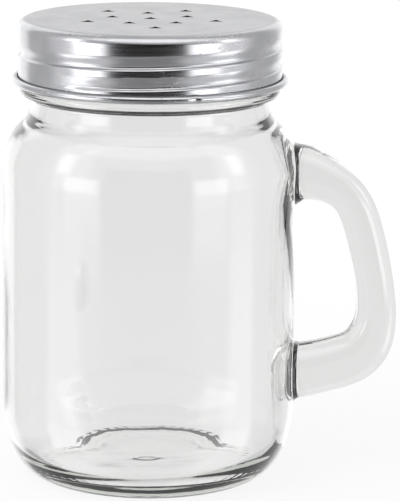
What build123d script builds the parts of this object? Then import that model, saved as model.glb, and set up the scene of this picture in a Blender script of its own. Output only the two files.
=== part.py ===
from build123d import *
import math
import os

os.makedirs("parts", exist_ok=True)

# Handled glass jar with a punched steel screw lid. Millimetres, +Z up. The origin is the
# middle of the resting face, on the jar's axis, and the handle stands out along +X.

# glass body
rim_height = 85.0           # resting face to the glass rim
body_radius = 27.25          # outside of the wall just under the shoulder
body_flare = 0.2           # radius that the wall gains from there down to the heel
wall = 2.3                  # glass thickness of the side wall
base_thick = 3.8            # glass thickness of the bottom
heel_width = 7.75            # how far the rounded heel reaches inwards
heel_height = 13.9          # how high the rounded heel climbs
foot_width = 1.3            # flat ring that the jar rests on
push_up = 1.2               # how far the bottom is domed clear of the table
dome_width = 2.6            # how far the dome's edge reaches inwards
inner_heel = 5.4            # rounding between the wall and the inner floor
shoulder_start = 58.9       # height where the wall starts to draw in
neck_start = 70.6           # height where the shoulder has become the neck
neck_radius = 22.2          # outside of the neck under the bead
neck_wall = 2.8             # glass thickness of the neck
rim_round = 0.7             # rounding of the rim's two edges

# glass bead under the lid
bead_reach = 1.9            # how far the bead stands out of the neck
bead_clear = 0.25           # gap between the bead and the lid's edge

# thread of the mouth
pitch = 3.7                 # rise of one turn
finish_step = 0.4           # radius that the mouth gains over the neck
thread_height = 1.3         # how far the glass thread stands out
thread_crest = 0.8          # width of the glass thread at its crest
thread_root = 2.1           # width of the glass thread at its root
thread_turns = 1.375        # length of the glass thread in turns
thread_start_angle = -90.0  # where the glass thread begins, from +X
thread_seat = 1.4           # how far the glass thread's middle runs above the lid's

# handle, moulded in one with the body
handle_reach = 15.7         # how far the handle's middle line stands out of the wall
handle_foot = 19.1          # height of its lower arm at the wall
handle_head = 58.4          # height of its upper arm at the wall
handle_thick = 7.5          # its thickness in its own plane
handle_width = 8.6          # its width across that plane
handle_round = 0.42         # rounding of its long edges, as a share of its thinner way
handle_bury = 2.2           # how deep its ends stand in the wall
handle_root = 1.8           # hollow rounding where it grows out of the wall

# steel lid
sheet = 0.3                 # thickness of the steel
thread_clear = 0.3          # gap between the glass thread and the skirt
skirt_depth = 12.0          # top of the lid to its lowest edge
lid_corner = 1.8            # outside rounding between the top and the skirt
curl_radius = 0.7           # outside of the curled edge
curl_angle = 285.0          # how far round the edge is curled
groove_depth = 0.57         # depth of the rolled thread
groove_turns = 1.58         # length of the rolled thread in turns
groove_start_angle = -135.0 # where the rolled thread begins, from +X
groove_start = 2.2         # height of its beginning over the lid's edge

# punched holes
hole_radius = 1.37          # middle of a hole to each of its three points
hole_waist = 0.56           # middle of a hole to the middle of each hollow side
inner_ring = 7.3           # radius of the inner ring of holes
inner_turn = 23.0           # angle of its first hole, from +X
outer_ring = 12.4           # radius of the outer ring of holes
outer_turn = 59.0           # angle of its first hole, from +X
ring_count = 5              # holes in each ring

# sealing ring
seal_thick = 0.85
seal_width = 2.7
seal_rim_gap = 0.1          # between the ring and the glass rim
seal_lid_gap = 0.05         # between the ring and the lid's top

# sizes that follow
bore_radius = neck_radius - neck_wall
finish_radius = neck_radius + finish_step
skirt_inside = finish_radius + thread_height + thread_clear
lid_radius = skirt_inside + sheet
lid_top = rim_height + seal_rim_gap + seal_thick + seal_lid_gap + sheet
lid_edge = lid_top - skirt_depth
bead_top = lid_edge - bead_clear
heel_radius = body_radius + body_flare
foot_radius = heel_radius - heel_width
groove_low = lid_edge + groove_start
weld = 0.15                 # overlap that joins a thread to its wall
overcut = 1.0               # how far a cutter runs past what it cuts


def between(low, high, share):
    return low + (high - low) * share


def turned(edges):
    """Solid of revolution about +Z of a closed outline in the XZ plane."""
    return revolve(make_face(edges), Axis.Z)


def quarter(centre, wide, high, turn):
    """Quarter of an ellipse in the XZ plane, as a curve of four spans."""
    points = []
    for step in range(9):
        angle = math.radians(turn + 90 * step / 8)
        points.append((centre[0] + wide * math.cos(angle), 0, centre[1] + high * math.sin(angle)))
    first = math.radians(turn)
    last = math.radians(turn + 90)
    start = (-wide * math.sin(first), 0, high * math.cos(first))
    end = (-wide * math.sin(last), 0, high * math.cos(last))
    return Spline(*points, tangents=[start, end])


def shoulder_points(bottom, top, low, high):
    """Points of the curve that draws the wall in from one radius and height to another."""
    shares = [(0.10, 0.245), (0.225, 0.40), (0.40, 0.55), (0.64, 0.655), (0.84, 0.745), (0.95, 0.86)]
    points = [(bottom, 0, low)]
    for across, up in shares:
        points.append((between(bottom, top, across), 0, between(low, high, up)))
    points.append((top, 0, high))
    return points


def shoulder(bottom, top, low, high):
    return Spline(*shoulder_points(bottom, top, low, high), tangents=[(0, 0, 1), (0, 0, 1)])


def outer_side():
    """The straight wall and the shoulder as one curve, so that the handle's root crosses no join."""
    points = []
    for share in (0, 0.125, 0.25, 0.375, 0.5, 0.625, 0.75, 0.875):
        radius = between(heel_radius, body_radius, share)
        points.append((radius, 0, between(heel_height, shoulder_start, share)))
    points = points + shoulder_points(body_radius, neck_radius, shoulder_start, neck_start)
    lean = (body_radius - heel_radius) / (shoulder_start - heel_height)
    return Spline(*points, tangents=[(lean, 0, 1), (0, 0, 1)])


def bead(start, top, inner, outer, upper):
    """Curve of the bead from the neck out, up and back to the mouth."""
    reach = outer - inner
    tall = top - start
    return Spline(
        (inner, 0, start),
        (inner + 0.25 * reach, 0, start + 0.12 * tall),
        (inner + 0.80 * reach, 0, start + 0.42 * tall),
        (outer, 0, start + 0.72 * tall),
        (inner + 0.85 * reach, 0, start + 0.95 * tall),
        (upper, 0, top),
        tangents=[(0.3, 0, 1), (-1, 0, 0.05)],
    )


def jar_outside():
    """The jar's outer form, solid through, with the dome under its bottom."""
    ring_in = foot_radius - foot_width
    dome_in = ring_in - dome_width
    dome = Spline(
        (ring_in, 0, 0),
        (dome_in, 0, push_up),
        tangents=[(-0.6, 0, 1), (-1, 0, 0)],
    )
    finish_top = rim_height - rim_round
    edges = [
        Line((0, 0, rim_height), (0, 0, push_up)),
        Line((0, 0, push_up), (dome_in, 0, push_up)),
        dome,
        Line((ring_in, 0, 0), (foot_radius, 0, 0)),
        quarter((foot_radius, heel_height), heel_width, heel_height, -90),
        outer_side(),
        bead(neck_start, bead_top, neck_radius, neck_radius + bead_reach, finish_radius),
        Line((finish_radius, 0, bead_top), (finish_radius, 0, finish_top)),
        quarter((finish_radius - rim_round, finish_top), rim_round, rim_round, 0),
        Line((finish_radius - rim_round, 0, rim_height), (0, 0, rim_height)),
    ]
    return turned(edges)


def jar_inside():
    """The jar's hollow, from its floor out through the mouth."""
    floor_wall = heel_radius - wall
    upper_wall = body_radius - wall
    floor_flat = floor_wall - inner_heel
    inner_low = shoulder_start - 0.6 * wall
    inner_high = neck_start + 0.2 * wall
    heel_top = base_thick + 1.3 * inner_heel
    lip = rim_height - rim_round
    over_rim = rim_height + overcut
    edges = [
        Line((0, 0, over_rim), (0, 0, base_thick)),
        Line((0, 0, base_thick), (floor_flat, 0, base_thick)),
        quarter((floor_flat, heel_top), inner_heel, heel_top - base_thick, -90),
        Line((floor_wall, 0, heel_top), (upper_wall, 0, inner_low)),
        shoulder(upper_wall, bore_radius, inner_low, inner_high),
        Line((bore_radius, 0, inner_high), (bore_radius, 0, lip)),
        ThreePointArc(
            (bore_radius, 0, lip),
            (bore_radius + 0.293 * rim_round, 0, lip + 0.707 * rim_round),
            (bore_radius + rim_round, 0, rim_height),
        ),
        Line((bore_radius + rim_round, 0, rim_height), (bore_radius + rim_round, 0, over_rim)),
        Line((bore_radius + rim_round, 0, over_rim), (0, 0, over_rim)),
    ]
    return turned(edges)


def handle_stations():
    """Points of the handle's middle line with its thickness and width there."""
    table = [
        (0.0, 0.982, 1.53, 1.05),
        (0.232, 0.968, 1.205, 1.0),
        (0.442, 0.935, 1.035, 1.0),
        (0.633, 0.881, 0.99, 1.0),
        (0.757, 0.792, 0.983, 1.0),
        (0.844, 0.68, 0.983, 1.0),
        (0.915, 0.562, 0.965, 1.0),
        (0.97, 0.445, 0.967, 1.0),
        (0.997, 0.332, 1.005, 1.0),
        (0.985, 0.233, 1.085, 1.0),
        (0.917, 0.159, 1.24, 1.0),
        (0.812, 0.098, 1.345, 1.0),
        (0.607, 0.062, 1.33, 1.0),
        (0.33, 0.033, 1.32, 1.0),
        (0.0, 0.01, 1.4, 1.05),
    ]
    stations = []
    for out, up, thick, width in table:
        x = body_radius + handle_reach * out
        z = between(handle_foot, handle_head, up)
        stations.append((x, z, handle_thick * thick, handle_width * width))
    return stations


def jar_handle():
    """The handle, as rounded sections along its middle line, with its ends in the wall."""
    stations = handle_stations()
    points = [(x, 0, z) for x, z, thick, width in stations]
    path = Spline(*points, tangents=[(1, 0, -0.03), (-1, 0, -0.06)])
    sections = []
    for x, z, thick, width in stations:
        along = path.tangent_at(path.param_at_point((x, 0, z)))
        corner = handle_round * min(thick, width)
        plane = Plane(origin=(x, 0, z), x_dir=(along.Z, 0, -along.X), z_dir=along)
        sections.append(plane * RectangleRounded(thick, width, corner))
    first = Pos(-handle_bury, 0, 0) * sections[0]
    last = Pos(-handle_bury, 0, 0) * sections[-1]
    return loft([first, *sections, last])


def helix_sweep(outline, radius, low, turns, start_angle):
    """Solid of a closed outline of radii and heights, swept up a helix."""
    path = Helix(pitch=pitch, height=turns * pitch, radius=radius, center=(0, 0, low))
    corners = [(r, 0, low + z) for r, z in outline]
    section = make_face(Polyline(*corners, close=True))
    return Rot(0, 0, start_angle) * sweep(section, path=path, is_frenet=True)


def glass_thread():
    """The raised thread of the glass mouth."""
    crest = finish_radius + thread_height
    root = finish_radius - weld
    outline = [
        (root, -thread_root / 2),
        (crest, -thread_crest / 2),
        (crest, thread_crest / 2),
        (root, thread_root / 2),
    ]
    turn = (thread_start_angle - groove_start_angle) / 360
    low = groove_low + thread_seat + pitch * turn
    return helix_sweep(outline, finish_radius, low, thread_turns, thread_start_angle)


def root_edges(body):
    """The edges where the handle's two ends meet the wall."""
    found = []
    for edge in body.edges():
        ends = [edge.position_at(share) for share in (0.05, 0.5, 0.95)]
        near = [math.hypot(point.X, point.Y) for point in ends]
        beside = all(abs(point.Y) < handle_width and point.X > 0 for point in ends)
        low = handle_foot - handle_thick
        high = handle_head + handle_thick
        level = all(low < point.Z < high for point in ends)
        on_wall = all(body_radius - handle_bury < radius < heel_radius + weld for radius in near)
        if beside and level and on_wall:
            found.append(edge)
    return found


def glass_jar():
    body = Rot(0, 0, 180) * jar_outside() + jar_handle()
    body = fillet(root_edges(body), handle_root)
    return body + glass_thread() - jar_inside()


def lid_shell():
    """The drawn cap with its curled edge, before its thread is rolled."""
    curl_out = curl_radius
    curl_in = curl_radius - sheet
    middle_r = skirt_inside + curl_out
    middle_z = lid_edge + curl_out
    inner_corner = lid_corner - sheet
    end = math.radians(180 + curl_angle)
    half = math.radians(180 + curl_angle / 2)

    def on_curl(radius, angle):
        return (middle_r + radius * math.cos(angle), 0, middle_z + radius * math.sin(angle))

    edges = [
        Line((0, 0, lid_top - sheet), (0, 0, lid_top)),
        Line((0, 0, lid_top), (lid_radius - lid_corner, 0, lid_top)),
        quarter_arc(lid_radius - lid_corner, lid_top - lid_corner, lid_corner),
        Line((lid_radius, 0, lid_top - lid_corner), (lid_radius, 0, middle_z)),
        ThreePointArc(on_curl(curl_in, math.pi), on_curl(curl_in, half), on_curl(curl_in, end)),
        Line(on_curl(curl_in, end), on_curl(curl_out, end)),
        ThreePointArc(on_curl(curl_out, end), on_curl(curl_out, half), on_curl(curl_out, math.pi)),
        Line((skirt_inside, 0, middle_z), (skirt_inside, 0, lid_top - lid_corner)),
        quarter_arc(skirt_inside - inner_corner, lid_top - lid_corner, inner_corner),
        Line((skirt_inside - inner_corner, 0, lid_top - sheet), (0, 0, lid_top - sheet)),
    ]
    return turned(edges)


def quarter_arc(x, z, radius):
    """Quarter circle in the XZ plane, from over its centre to beside it."""
    middle = radius * math.sqrt(0.5)
    return ThreePointArc((x, 0, z + radius), (x + middle, 0, z + middle), (x + radius, 0, z))


def rolled_thread(radius, overlap):
    """Section of the rolled thread: a long slope inwards and a short one out again."""
    return [
        (radius + overlap, 2.0),
        (radius - 0.2 * groove_depth, 1.3),
        (radius - 0.7 * groove_depth, 0.5),
        (radius - groove_depth, 0.0),
        (radius - 0.55 * groove_depth, -0.4),
        (radius + overlap, -0.9),
    ]


def lid_thread_bead():
    """The rolled thread as it stands inwards from the skirt, a little longer than its groove."""
    margin = 2.0
    turns = groove_turns + 2 * margin / 360
    low = groove_low - pitch * margin / 360
    outline = rolled_thread(skirt_inside, weld)
    return helix_sweep(outline, skirt_inside, low, turns, groove_start_angle - margin)


def lid_thread_groove():
    """The same thread as a groove in the outside of the skirt."""
    outline = rolled_thread(lid_radius, 0.1)
    return helix_sweep(outline, lid_radius, groove_low, groove_turns, groove_start_angle)


def star_hole():
    """Outline of a three-pointed hole with hollow sides and one point along +Y."""
    edges = []
    for side in range(3):
        first = math.radians(90 + 120 * side)
        middle = first + math.radians(60)
        last = first + math.radians(120)
        edges.append(
            ThreePointArc(
                (hole_radius * math.cos(first), hole_radius * math.sin(first)),
                (hole_waist * math.cos(middle), hole_waist * math.sin(middle)),
                (hole_radius * math.cos(last), hole_radius * math.sin(last)),
            )
        )
    return make_face(edges)


def hole_places():
    """Middle of every hole: one on the axis and two rings round it."""
    places = [(0.0, 0.0)]
    for ring, turn in ((inner_ring, inner_turn), (outer_ring, outer_turn)):
        for number in range(ring_count):
            angle = math.radians(turn + 360 * number / ring_count)
            places.append((ring * math.cos(angle), ring * math.sin(angle)))
    return places


def shaker_lid():
    solid = lid_shell() + lid_thread_bead() - lid_thread_groove()
    punch = extrude(star_hole(), amount=4 * sheet)
    for x, y in hole_places():
        solid = solid - Pos(x, y, lid_top - 2.5 * sheet) * punch
    return solid


def sealing_ring():
    """Flat ring that fills the lid's top out to where its corner starts."""
    outer = skirt_inside - (lid_corner - sheet)
    low = rim_height + seal_rim_gap
    disc = Pos(0, 0, low) * extrude(Circle(outer), amount=seal_thick)
    hole = Pos(0, 0, low) * extrude(Circle(outer - seal_width), amount=seal_thick)
    return disc - hole


nodes = {
    "glass_jar": glass_jar(),
    "shaker_lid": shaker_lid(),
    "sealing_ring": sealing_ring(),
}
for name, shape in nodes.items():
    export_step(shape, f"parts/{name}.step")
    box = shape.bounding_box()
    print(name, len(shape.solids()), "solid, volume", round(shape.volume, 2), "valid", shape.is_valid)
    print("  box", [round(v, 3) for v in (*box.min, *box.max)])
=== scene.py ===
import math

import bmesh
import bpy
import numpy as np
from mathutils import Matrix, Vector


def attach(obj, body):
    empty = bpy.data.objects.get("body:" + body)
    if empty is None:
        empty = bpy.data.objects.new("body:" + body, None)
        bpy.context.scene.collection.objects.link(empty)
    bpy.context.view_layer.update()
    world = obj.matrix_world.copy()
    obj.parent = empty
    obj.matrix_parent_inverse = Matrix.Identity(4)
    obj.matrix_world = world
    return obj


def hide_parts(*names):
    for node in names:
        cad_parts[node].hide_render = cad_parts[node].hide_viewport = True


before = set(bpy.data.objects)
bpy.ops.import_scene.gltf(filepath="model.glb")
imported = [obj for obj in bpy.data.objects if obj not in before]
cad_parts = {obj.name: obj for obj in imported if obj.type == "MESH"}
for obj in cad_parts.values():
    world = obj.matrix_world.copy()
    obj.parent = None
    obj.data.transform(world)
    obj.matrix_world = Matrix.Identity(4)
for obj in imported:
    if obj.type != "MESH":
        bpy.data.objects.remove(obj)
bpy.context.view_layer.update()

# Handled glass jar with a punched steel screw lid. Sizes below are in millimetres, in the
# frame of the CAD model, and become metres when a mesh is made.

MM = 0.001

# glass body
RIM_HEIGHT = 85.0
BODY_RADIUS = 27.25
HEEL_RADIUS = 27.45
WALL = 2.3
BASE_THICK = 3.8
HEEL_WIDTH = 7.75
HEEL_HEIGHT = 13.9
FOOT_RADIUS = 19.7
FOOT_IN = 18.4
# flat recess under the bottom: its height, radii that keep it flat, radius where its step begins
PUSH_UP = 0.35
RECESS_FLAT = (9.0, 16.6)
RECESS_STEP = 17.4
INNER_HEEL = 5.4
FLOOR_SHIFT = (-0.5, -0.1)
FLOOR_TILT = 0.2
PLUNGER_RING = 0.8
# waves of the inner wall, all round and behind the handle: depth, number round the jar, phase per
# millimetre of height, phase at the start
WALL_WAVES = [(0.09, 2, 0.0, 0.6), (0.05, 3, 0.05, 2.1), (0.012, 7, 0.09, 0.0)]
HANDLE_WAVES = [(0.5, 0, 0.21, 1.2), (0.3, 0, 0.47, 0.0), (0.2, 9, 0.1, 0.0)]
SHOULDER_START = 58.9
NECK_START = 70.6
NECK_RADIUS = 22.2
BORE_RADIUS = 19.4
FINISH_RADIUS = 22.6
RIM_ROUND = 0.7
BEAD_REACH = 1.9
BEAD_TOP = 74.05
# way of the shoulder from the wall to the neck: share of the radius, share of the height
SHOULDER_SHARES = [
    (0.0, 0.0),
    (0.10, 0.245),
    (0.225, 0.40),
    (0.40, 0.55),
    (0.64, 0.655),
    (0.84, 0.745),
    (0.95, 0.86),
    (1.0, 1.0),
]

# thread
PITCH = 3.7
THREAD_HEIGHT = 1.3
THREAD_TURNS = 1.375
GROOVE_DEPTH = 0.57
GROOVE_TURNS = 1.58
GROOVE_LOW = 76.5
GROOVE_START = math.radians(-135)
THREAD_START = math.radians(-90)
THREAD_SEAT = 1.4
THREAD_LOW = GROOVE_LOW + THREAD_SEAT + PITCH * (THREAD_START - GROOVE_START) / (2 * math.pi)

# handle; each station gives shares of its reach, height, thickness and width
HANDLE_REACH = 15.7
HANDLE_FOOT = 19.1
HANDLE_HEAD = 58.4
HANDLE_THICK = 7.5
HANDLE_WIDTH = 8.6
HANDLE_ROUND = 0.42
HANDLE_ROOT = 1.1
# heights of the body where the patches that the roots replace begin: lower, upper
ROOT_HEIGHTS = ((False, 9.9), (True, 48.1))
HANDLE_STATIONS = [
    (0.0, 0.982, 1.53, 1.05),
    (0.232, 0.968, 1.205, 1.0),
    (0.442, 0.935, 1.035, 1.0),
    (0.633, 0.881, 0.99, 1.0),
    (0.757, 0.792, 0.983, 1.0),
    (0.844, 0.68, 0.983, 1.0),
    (0.915, 0.562, 0.965, 1.0),
    (0.97, 0.445, 0.967, 1.0),
    (0.997, 0.332, 1.005, 1.0),
    (0.985, 0.233, 1.085, 1.0),
    (0.917, 0.159, 1.24, 1.0),
    (0.812, 0.098, 1.345, 1.0),
    (0.607, 0.062, 1.33, 1.0),
    (0.33, 0.033, 1.32, 1.0),
    (0.0, 0.01, 1.4, 1.05),
]

# steel lid
SHEET = 0.3
LID_TOP = 86.3
LID_EDGE = 74.3
LID_RADIUS = 24.5
LID_CORNER = 1.8
CURL_RADIUS = 0.7
CURL_ANGLE = 285
NICK_TURN = math.radians(-70.5)
NICK_DEPTH = 0.2
PUNCHED_RADIUS = 20.5
HOLE_RADIUS = 1.6
HOLE_WAIST = 0.74
INNER_RING = 7.3
INNER_TURN = math.radians(23)
OUTER_RING = 12.4
OUTER_TURN = math.radians(59)

# sealing ring
SEAL_LOW = 85.1
SEAL_HIGH = 85.95
SEAL_OUTER = 22.7
SEAL_INNER = 20.0
SEAL_ROUND = 0.2

# camera fitted to the photograph, in metres and radians, on a frame 501 px high
FOCAL_PIXELS = 2996.04
FRAME_PIXELS = 501
SENSOR = 36.0
CAMERA_PLACE = (0.009528, -0.550, 0.161835)
CAMERA_DOWN = 0.2137
CAMERA_ROLL = 0.0094

# table and key lamp; the lamp's place and size are in metres, its power in watts
TABLE_RADIUS = 220.0
TABLE_SIDES = 96
TABLE_DROP = 0.02
KEY_PLACE = (-0.35, -0.25, 0.6)
KEY_SIZE = 0.5
KEY_POWER = 2.2

# light tent; its patches give azimuth from and to, elevation from and to, softness of the edge, level
TENT_RADIUS = 800.0
THROUGH_LEVEL = 0.82
REFLECTED_LIGHT = [
    (95, 135, -90, 90, 6, 0.92),
    (-135, -95, -90, 90, 6, 0.92),
    (-165, -130, -30, 60, 4, 1.7),
    (146, 170, -30, 60, 4, 1.5),
    (-95, 95, -90, -24, 8, 1.35),
    (-38, 36, -90, -24, 12, 0.5),
    (-92, -66, -6, 70, 6, 1.3),
    (64, 94, -6, 70, 6, 1.45),
    (-77, -64, 16, 38, 5, 4.2),
    (69, 81, 16, 38, 5, 4.2),
    (-35, 35, -24, -5, 25, 0.4),
    (-84, -54, -14, -7, 4, 2.2),
    (66, 88, -14, -7, 4, 2.6),
    (-84, -50, -30, -14, 4, 3.4),
    (60, 88, -30, -14, 4, 3.4),
    (-67, -38, -6, 14, 4, 4.0),
    (35, 62, -6, 14, 4, 4.0),
    (-70, 70, 46, 84, 6, 2.2),
    (-36, 33, -9, 30, 3, 0.006),
]
THROUGH_LIGHT = [
    (-84, -50, 0, 60, 6, 2.2),
    (60, 86, 0, 60, 6, 2.2),
]

# kinds of node that are used often
MATH = "ShaderNodeMath"
VECTOR_MATH = "ShaderNodeVectorMath"
MAP_RANGE = "ShaderNodeMapRange"
MIX = "ShaderNodeMix"
NOISE = "ShaderNodeTexNoise"
COORDINATES = "ShaderNodeTexCoord"
BUMP = "ShaderNodeBump"
PRINCIPLED = "ShaderNodeBsdfPrincipled"
SURFACE_OUT = "ShaderNodeOutputMaterial"
COMBINE = "ShaderNodeCombineXYZ"
SEPARATE = "ShaderNodeSeparateXYZ"
COMPARE = "FunctionNodeCompare"

# mesh density
JAR_COLUMNS = 360
LID_COLUMNS = 360
SEAL_COLUMNS = 180
ROOT_COLUMNS = 36
ROOT_ROWS = 16


def linear(colour):
    """sRGB hex colour as linear RGBA."""
    channels = [int(colour[i : i + 2], 16) / 255 for i in (1, 3, 5)]
    return [c / 12.92 if c <= 0.04045 else ((c + 0.055) / 1.055) ** 2.4 for c in channels] + [1.0]


def add(tree, kind, *values, out=0, **settings):
    """Adds a node with its settings, sets or links its inputs in order, and returns one output."""
    made = tree.nodes.new(kind)
    for name, value in settings.items():
        setattr(made, name, value)
    inputs = dict(enumerate(values))
    if len(values) == 1 and isinstance(values[0], dict):
        inputs = values[0]
    for key, value in inputs.items():
        if isinstance(value, bpy.types.NodeSocket):
            tree.links.new(value, made.inputs[key])
        elif value is not None:
            made.inputs[key].default_value = value
    return made.outputs[out] if len(made.outputs) else made


def hermite(t, width, start, start_slope, end, end_slope):
    """Smooth curve between two values with the slopes given at them, at the share t of its width."""
    return (
        (2 * t**3 - 3 * t**2 + 1) * start
        + (t**3 - 2 * t**2 + t) * width * start_slope
        + (3 * t**2 - 2 * t**3) * end
        + (t**3 - t**2) * width * end_slope
    )


def spline(points, tangents, count):
    """Points along a smooth curve through the given ones, with the given directions at its ends."""
    knots = np.array(points, float)
    step = np.linalg.norm(np.diff(knots, axis=0), axis=1)
    at = np.concatenate(([0.0], np.cumsum(step)))
    number = len(knots)
    matrix = np.zeros((number, number))
    right = np.zeros_like(knots)
    matrix[0, 0] = matrix[-1, -1] = 1
    right[0] = np.array(tangents[0], float) / np.linalg.norm(tangents[0])
    right[-1] = np.array(tangents[1], float) / np.linalg.norm(tangents[1])
    chord = np.diff(knots, axis=0) / step[:, None]
    for i in range(1, number - 1):
        matrix[i, i - 1] = step[i]
        matrix[i, i] = 2 * (step[i - 1] + step[i])
        matrix[i, i + 1] = step[i - 1]
        right[i] = 3 * (step[i] * chord[i - 1] + step[i - 1] * chord[i])
    slope = np.linalg.solve(matrix, right)
    wanted = np.linspace(0, at[-1], count)
    span = np.clip(np.searchsorted(at, wanted, side="right") - 1, 0, number - 2)
    t = ((wanted - at[span]) / step[span])[:, None]
    width = step[span][:, None]
    return hermite(t, width, knots[span], slope[span], knots[span + 1], slope[span + 1])


def straight(start, end, count):
    """Evenly spaced points on a straight line."""
    return np.linspace(start, end, count)


def quarter(centre, wide, high, turn, count):
    """Quarter of an ellipse, counter-clockwise from the angle turn."""
    angle = np.radians(turn + np.linspace(0, 90, count))
    return np.stack((centre[0] + wide * np.cos(angle), centre[1] + high * np.sin(angle)), axis=1)


def chained(*runs):
    """Runs of points as one, without the doubled points where they meet."""
    kept = [runs[0]]
    for run in runs[1:]:
        kept.append(run[1:])
    return np.concatenate(kept)


def shoulder(bottom, top, low, high):
    """Points of the shoulder's outline between two radii and two heights."""
    return [(bottom + (top - bottom) * a, low + (high - low) * u) for a, u in SHOULDER_SHARES]


def respaced(points, spacing):
    """The same curve with points at an even spacing."""
    along = np.concatenate(([0.0], np.cumsum(np.linalg.norm(np.diff(points, axis=0), axis=1))))
    count = int(round(along[-1] / spacing)) + 1
    wanted = np.linspace(0, along[-1], count)
    return np.stack([np.interp(wanted, along, points[:, k]) for k in range(points.shape[1])], axis=1)


def revolved(profile, columns):
    """Grid of points of a profile, given as radius and height, turned round the axis."""
    angle = np.arange(columns) * 2 * math.pi / columns
    return np.array([[(r * math.cos(a), r * math.sin(a), z) for a in angle] for r, z in profile])


def banded(pairs, columns):
    """Faces between the given pairs of rows of a turned profile."""
    faces = []
    for a, b in pairs:
        for column in range(columns):
            beside = (column + 1) % columns
            faces.append(
                tuple(row * columns + c for row, c in ((a, column), (b, column), (b, beside), (a, beside)))
            )
    return faces


def side_curve():
    """The outer side from the foot ring up to the neck: heel, wall and shoulder."""
    heel = quarter((FOOT_RADIUS, HEEL_HEIGHT), HEEL_WIDTH, HEEL_HEIGHT, -90, 200)
    wall = straight((HEEL_RADIUS, HEEL_HEIGHT), (BODY_RADIUS, SHOULDER_START), 400)
    drawn_in = spline(shoulder(BODY_RADIUS, NECK_RADIUS, SHOULDER_START, NECK_START), [(0, 1), (0, 1)], 300)
    return chained(heel, wall, drawn_in)


def jar_outside():
    """The outer outline from the middle of the bottom to the top of the rim, as radius and height."""
    ring = PLUNGER_RING
    ring_steps = [(0, 0), (ring - 0.5, 0), (ring, 0.25), (ring + 0.5, 0), (ring + 2, 0)]
    mark = spline([(radius, PUSH_UP + rise) for radius, rise in ring_steps], [(1, 0), (1, 0)], 15)
    flat = [(radius, PUSH_UP) for radius in (ring + 2, *RECESS_FLAT)]
    recess = spline([*flat, (RECESS_STEP, 0.9 * PUSH_UP), (FOOT_IN, 0)], [(1, 0), (0.7, -1)], 14)
    reach = BEAD_REACH
    tall = BEAD_TOP - NECK_START
    bead = spline(
        [
            (NECK_RADIUS, NECK_START),
            (NECK_RADIUS + 0.01 * reach, NECK_START + 0.34 * tall),
            (NECK_RADIUS + 0.12 * reach, NECK_START + 0.42 * tall),
            (NECK_RADIUS + 0.70 * reach, NECK_START + 0.48 * tall),
            (NECK_RADIUS + reach, NECK_START + 0.72 * tall),
            (NECK_RADIUS + 0.85 * reach, NECK_START + 0.95 * tall),
            (FINISH_RADIUS, BEAD_TOP),
        ],
        [(0, 1), (-1, 0.05)],
        26,
    )
    lip = RIM_HEIGHT - RIM_ROUND
    return chained(
        mark,
        recess,
        straight((FOOT_IN, 0), (FOOT_RADIUS, 0), 5),
        respaced(side_curve(), 1.2),
        bead,
        straight((FINISH_RADIUS, BEAD_TOP), (FINISH_RADIUS, lip), 46),
        quarter((FINISH_RADIUS - RIM_ROUND, lip), RIM_ROUND, RIM_ROUND, 0, 6),
        straight((FINISH_RADIUS - RIM_ROUND, RIM_HEIGHT), (BORE_RADIUS + RIM_ROUND, RIM_HEIGHT), 4),
    )


def jar_inside():
    """The inner outline from the top of the rim down to the middle of the floor."""
    floor_wall = HEEL_RADIUS - WALL
    upper_wall = BODY_RADIUS - WALL
    low = SHOULDER_START - 0.6 * WALL
    high = NECK_START + 0.2 * WALL
    heel_top = BASE_THICK + 1.3 * INNER_HEEL
    lip = RIM_HEIGHT - RIM_ROUND
    floor_flat = floor_wall - INNER_HEEL
    drawn_in = spline(shoulder(upper_wall, BORE_RADIUS, low, high), [(0, 1), (0, 1)], 20)
    return chained(
        quarter((BORE_RADIUS + RIM_ROUND, lip), RIM_ROUND, RIM_ROUND, 90, 6),
        straight((BORE_RADIUS, lip), (BORE_RADIUS, high), 7),
        drawn_in[::-1],
        straight((upper_wall, low), (floor_wall, heel_top), 12),
        quarter((floor_flat, heel_top), INNER_HEEL, heel_top - BASE_THICK, -90, 16)[::-1],
        straight((floor_flat, BASE_THICK), (0, BASE_THICK), 14),
    )


def eased(share):
    """Share from 0 to 1 with a soft start and end."""
    share = np.clip(share, 0, 1)
    return share * share * (3 - 2 * share)


def uneven_inside(grid):
    """The inside of pressed glass: a wall that waves a little, and a floor that the plunger left off
    the middle and tilted."""
    x, y, z = (grid[..., k].copy() for k in range(3))
    turn = np.arctan2(y, x)
    radius = np.hypot(x, y)

    def waves(kinds):
        return sum(deep * np.sin(around * turn + up * z + start) for deep, around, up, start in kinds)

    behind_handle = np.exp(-((turn / 0.5) ** 2))
    wave = waves(WALL_WAVES) + behind_handle * waves(HANDLE_WAVES)
    wider = 1 + wave * eased((NECK_START - z) / 12) * eased(radius / 20) / np.maximum(radius, 1)
    depth = 1.3 * INNER_HEEL
    low = eased((BASE_THICK + depth - z) / depth)
    grid[..., 0] = x * wider + FLOOR_SHIFT[0] * low
    grid[..., 1] = y * wider + FLOOR_SHIFT[1] * low
    grid[..., 2] = z + FLOOR_TILT * low * (0.6 * x + 0.8 * y) / 19
    return grid


def evened(rings, rounds):
    """The same rings with each line along the handle made smooth, its two ends kept."""
    stack = np.array(rings)
    for _ in range(rounds):
        stack[1:-1] = 0.25 * stack[:-2] + 0.5 * stack[1:-1] + 0.25 * stack[2:]
    return list(stack)


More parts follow.
